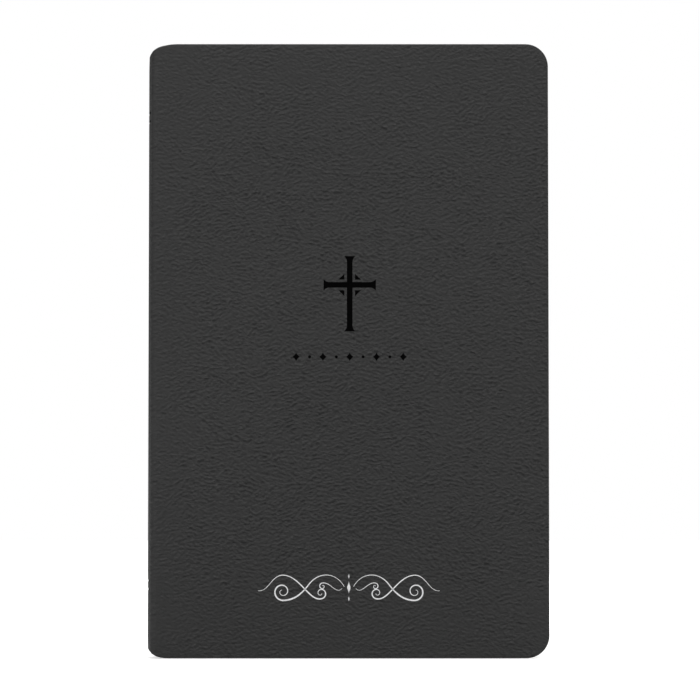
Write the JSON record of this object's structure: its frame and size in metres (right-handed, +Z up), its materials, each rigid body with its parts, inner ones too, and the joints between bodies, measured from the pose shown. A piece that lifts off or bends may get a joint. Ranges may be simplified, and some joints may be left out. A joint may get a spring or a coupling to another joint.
{
  "type": "book",
  "caption": "Hand-size book with a flexible leather-look cover, rounded fore-edge corners, a pressed cross and opening covers, sections and ribbon.",
  "frame": {"origin": "middle of the closed book's footprint, on the surface it stands on", "axes": "+Z up from tail to head, +X from the spine to the fore-edge, +Y from the front cover to the back cover"},
  "size_m": [0.1412, 0.0254, 0.216],
  "materials": {
    "charcoal_leather": "matte, fine wrinkled grain",
    "grey_board": "uncoated",
    "endpaper": "uncoated",
    "page_paper": "thin uncoated Bible paper",
    "map_paper": "coated",
    "kraft_paper": "uncoated",
    "mull_cloth": "open weave",
    "binding_glue": "flexible film",
    "sewing_thread": "twisted",
    "band_cloth": "woven over a cord",
    "ribbon_satin": "satin weave"
  },
  "bodies": {
    "back_cover": {"back_cover_leather": "charcoal_leather", "back_cover_board": "grey_board", "back_pastedown": "endpaper", "back_joint_leather": "charcoal_leather"},
    "spine": {"spine_leather": "charcoal_leather", "spine_inlay": "grey_board", "spine_lining_paper": "kraft_paper", "spine_mull": "mull_cloth", "spine_glue": "binding_glue", "section_folds": "page_paper", "head_band": "band_cloth", "tail_band": "band_cloth", "sewing_thread_1": "sewing_thread", "sewing_thread_2": "sewing_thread", "sewing_thread_3": "sewing_thread", "sewing_thread_4": "sewing_thread", "sewing_thread_5": "sewing_thread"},
    "front_joint": {"front_joint_leather": "charcoal_leather", "front_flyleaf": "endpaper"},
    "front_cover": {"front_cover_leather": "charcoal_leather", "front_cover_board": "grey_board", "front_pastedown": "endpaper"},
    "presentation_leaf": {"presentation_leaf": "map_paper"},
    "section_01": {"section_01": "page_paper"},
    "section_02": {"section_02": "page_paper"},
    "section_03": {"section_03": "page_paper"},
    "section_04": {"section_04": "page_paper"},
    "section_05": {"section_05": "page_paper"},
    "section_06": {"section_06": "page_paper"},
    "section_07": {"section_07": "page_paper"},
    "section_08": {"section_08": "page_paper"},
    "section_09": {"section_09": "page_paper"},
    "section_10": {"section_10": "page_paper"},
    "section_11": {"section_11": "page_paper"},
    "section_12": {"section_12": "page_paper"},
    "section_13": {"section_13": "page_paper"},
    "section_14": {"section_14": "page_paper"},
    "section_15": {"section_15": "page_paper"},
    "section_16": {"section_16": "page_paper"},
    "section_17": {"section_17": "page_paper"},
    "section_18": {"section_18": "page_paper"},
    "section_19": {"section_19": "page_paper"},
    "section_20": {"section_20": "page_paper"},
    "section_21": {"section_21": "page_paper"},
    "section_22": {"section_22": "page_paper"},
    "section_23": {"section_23": "page_paper"},
    "section_24": {"section_24": "page_paper"},
    "map_leaf": {"map_leaf": "map_paper"},
    "back_flyleaf": {"back_flyleaf": "endpaper"},
    "ribbon_marker": {"ribbon_marker": "ribbon_satin"}
  },
  "joints": [
    {"name": "book_open", "type": "hinge", "parent": "back_cover", "child": "spine", "pos_m": [-0.0687, 0.0148, 0], "axis": [0, 0, -1], "range_deg": [0, 90]},
    {"name": "front_joint_fold", "type": "hinge", "parent": "spine", "child": "front_joint", "pos_m": [-0.0687, -0.0148, 0], "axis": [0, 0, -1], "range_deg": [0, 90]},
    {"name": "front_cover_open", "type": "hinge", "parent": "front_joint", "child": "front_cover", "pos_m": [-0.0687, -0.0148, 0], "axis": [0, 0, -1], "range_deg": [0, 175]},
    {"name": "presentation_leaf_turn", "type": "hinge", "parent": "spine", "child": "presentation_leaf", "pos_m": [-0.06389, -0.00999, 0], "axis": [0, 0, -1], "range_deg": [0, 90]},
    {"name": "section_01_turn", "type": "hinge", "parent": "spine", "child": "section_01", "pos_m": [-0.06336, -0.00946, 0], "axis": [0, 0, -1], "range_deg": [0, 90]},
    {"name": "section_02_turn", "type": "hinge", "parent": "spine", "child": "section_02", "pos_m": [-0.06255, -0.00865, 0], "axis": [0, 0, -1], "range_deg": [0, 90]},
    {"name": "section_03_turn", "type": "hinge", "parent": "spine", "child": "section_03", "pos_m": [-0.06175, -0.00785, 0], "axis": [0, 0, -1], "range_deg": [0, 90]},
    {"name": "section_04_turn", "type": "hinge", "parent": "spine", "child": "section_04", "pos_m": [-0.06094, -0.00704, 0], "axis": [0, 0, -1], "range_deg": [0, 90]},
    {"name": "section_05_turn", "type": "hinge", "parent": "spine", "child": "section_05", "pos_m": [-0.06014, -0.00624, 0], "axis": [0, 0, -1], "range_deg": [0, 90]},
    {"name": "section_06_turn", "type": "hinge", "parent": "spine", "child": "section_06", "pos_m": [-0.05933, -0.00543, 0], "axis": [0, 0, -1], "range_deg": [0, 90]},
    {"name": "section_07_turn", "type": "hinge", "parent": "spine", "child": "section_07", "pos_m": [-0.05853, -0.00462, 0], "axis": [0, 0, -1], "range_deg": [0, 90]},
    {"name": "section_08_turn", "type": "hinge", "parent": "spine", "child": "section_08", "pos_m": [-0.05772, -0.00382, 0], "axis": [0, 0, -1], "range_deg": [0, 90]},
    {"name": "section_09_turn", "type": "hinge", "parent": "spine", "child": "section_09", "pos_m": [-0.05691, -0.00301, 0], "axis": [0, 0, -1], "range_deg": [0, 90]},
    {"name": "section_10_turn", "type": "hinge", "parent": "spine", "child": "section_10", "pos_m": [-0.05611, -0.00221, 0], "axis": [0, 0, -1], "range_deg": [0, 90]},
    {"name": "section_11_turn", "type": "hinge", "parent": "spine", "child": "section_11", "pos_m": [-0.0553, -0.0014, 0], "axis": [0, 0, -1], "range_deg": [0, 90]},
    {"name": "section_12_turn", "type": "hinge", "parent": "spine", "child": "section_12", "pos_m": [-0.0545, -0.0006, 0], "axis": [0, 0, -1], "range_deg": [0, 90]},
    {"name": "section_13_turn", "type": "hinge", "parent": "spine", "child": "section_13", "pos_m": [-0.0545, 0.0006, 0], "axis": [0, 0, -1], "range_deg": [-90, 0]},
    {"name": "section_14_turn", "type": "hinge", "parent": "spine", "child": "section_14", "pos_m": [-0.0553, 0.0014, 0], "axis": [0, 0, -1], "range_deg": [-90, 0]},
    {"name": "section_15_turn", "type": "hinge", "parent": "spine", "child": "section_15", "pos_m": [-0.05611, 0.00221, 0], "axis": [0, 0, -1], "range_deg": [-90, 0]},
    {"name": "section_16_turn", "type": "hinge", "parent": "spine", "child": "section_16", "pos_m": [-0.05691, 0.00301, 0], "axis": [0, 0, -1], "range_deg": [-90, 0]},
    {"name": "section_17_turn", "type": "hinge", "parent": "spine", "child": "section_17", "pos_m": [-0.05772, 0.00382, 0], "axis": [0, 0, -1], "range_deg": [-90, 0]},
    {"name": "section_18_turn", "type": "hinge", "parent": "spine", "child": "section_18", "pos_m": [-0.05853, 0.00462, 0], "axis": [0, 0, -1], "range_deg": [-90, 0]},
    {"name": "section_19_turn", "type": "hinge", "parent": "spine", "child": "section_19", "pos_m": [-0.05933, 0.00543, 0], "axis": [0, 0, -1], "range_deg": [-90, 0]},
    {"name": "section_20_turn", "type": "hinge", "parent": "spine", "child": "section_20", "pos_m": [-0.06014, 0.00624, 0], "axis": [0, 0, -1], "range_deg": [-90, 0]},
    {"name": "section_21_turn", "type": "hinge", "parent": "spine", "child": "section_21", "pos_m": [-0.06094, 0.00704, 0], "axis": [0, 0, -1], "range_deg": [-90, 0]},
    {"name": "section_22_turn", "type": "hinge", "parent": "spine", "child": "section_22", "pos_m": [-0.06175, 0.00785, 0], "axis": [0, 0, -1], "range_deg": [-90, 0]},
    {"name": "section_23_turn", "type": "hinge", "parent": "spine", "child": "section_23", "pos_m": [-0.06255, 0.00865, 0], "axis": [0, 0, -1], "range_deg": [-90, 0]},
    {"name": "section_24_turn", "type": "hinge", "parent": "spine", "child": "section_24", "pos_m": [-0.06336, 0.00946, 0], "axis": [0, 0, -1], "range_deg": [-90, 0]},
    {"name": "map_leaf_turn", "type": "hinge", "parent": "spine", "child": "map_leaf", "pos_m": [-0.06389, 0.00999, 0], "axis": [0, 0, -1], "range_deg": [-90, 0]},
    {"name": "back_flyleaf_turn", "type": "hinge", "parent": "spine", "child": "back_flyleaf", "pos_m": [-0.06415, 0.01025, 0], "axis": [0, 0, -1], "range_deg": [-90, 0]},
    {"name": "ribbon_marker_turn", "type": "hinge", "parent": "spine", "child": "ribbon_marker", "pos_m": [-0.0539, 0, 0], "axis": [0, 0, -1], "range_deg": [-90, 0]}
  ],
  "couplings": [
    {"joint": "front_joint_fold", "follows": "book_open", "ratio": 1},
    {"joint": "presentation_leaf_turn", "follows": "book_open", "ratio": 1},
    {"joint": "section_01_turn", "follows": "book_open", "ratio": 1},
    {"joint": "section_02_turn", "follows": "book_open", "ratio": 1},
    {"joint": "section_03_turn", "follows": "book_open", "ratio": 1},
    {"joint": "section_04_turn", "follows": "book_open", "ratio": 1},
    {"joint": "section_05_turn", "follows": "book_open", "ratio": 1},
    {"joint": "section_06_turn", "follows": "book_open", "ratio": 1},
    {"joint": "section_07_turn", "follows": "book_open", "ratio": 1},
    {"joint": "section_08_turn", "follows": "book_open", "ratio": 1},
    {"joint": "section_09_turn", "follows": "book_open", "ratio": 1},
    {"joint": "section_10_turn", "follows": "book_open", "ratio": 1},
    {"joint": "section_11_turn", "follows": "book_open", "ratio": 1},
    {"joint": "section_12_turn", "follows": "book_open", "ratio": 1},
    {"joint": "section_13_turn", "follows": "book_open", "ratio": -1},
    {"joint": "section_14_turn", "follows": "book_open", "ratio": -1},
    {"joint": "section_15_turn", "follows": "book_open", "ratio": -1},
    {"joint": "section_16_turn", "follows": "book_open", "ratio": -1},
    {"joint": "section_17_turn", "follows": "book_open", "ratio": -1},
    {"joint": "section_18_turn", "follows": "book_open", "ratio": -1},
    {"joint": "section_19_turn", "follows": "book_open", "ratio": -1},
    {"joint": "section_20_turn", "follows": "book_open", "ratio": -1},
    {"joint": "section_21_turn", "follows": "book_open", "ratio": -1},
    {"joint": "section_22_turn", "follows": "book_open", "ratio": -1},
    {"joint": "section_23_turn", "follows": "book_open", "ratio": -1},
    {"joint": "section_24_turn", "follows": "book_open", "ratio": -1},
    {"joint": "map_leaf_turn", "follows": "book_open", "ratio": -1},
    {"joint": "back_flyleaf_turn", "follows": "book_open", "ratio": -1},
    {"joint": "ribbon_marker_turn", "follows": "book_open", "ratio": -1}
  ]
}
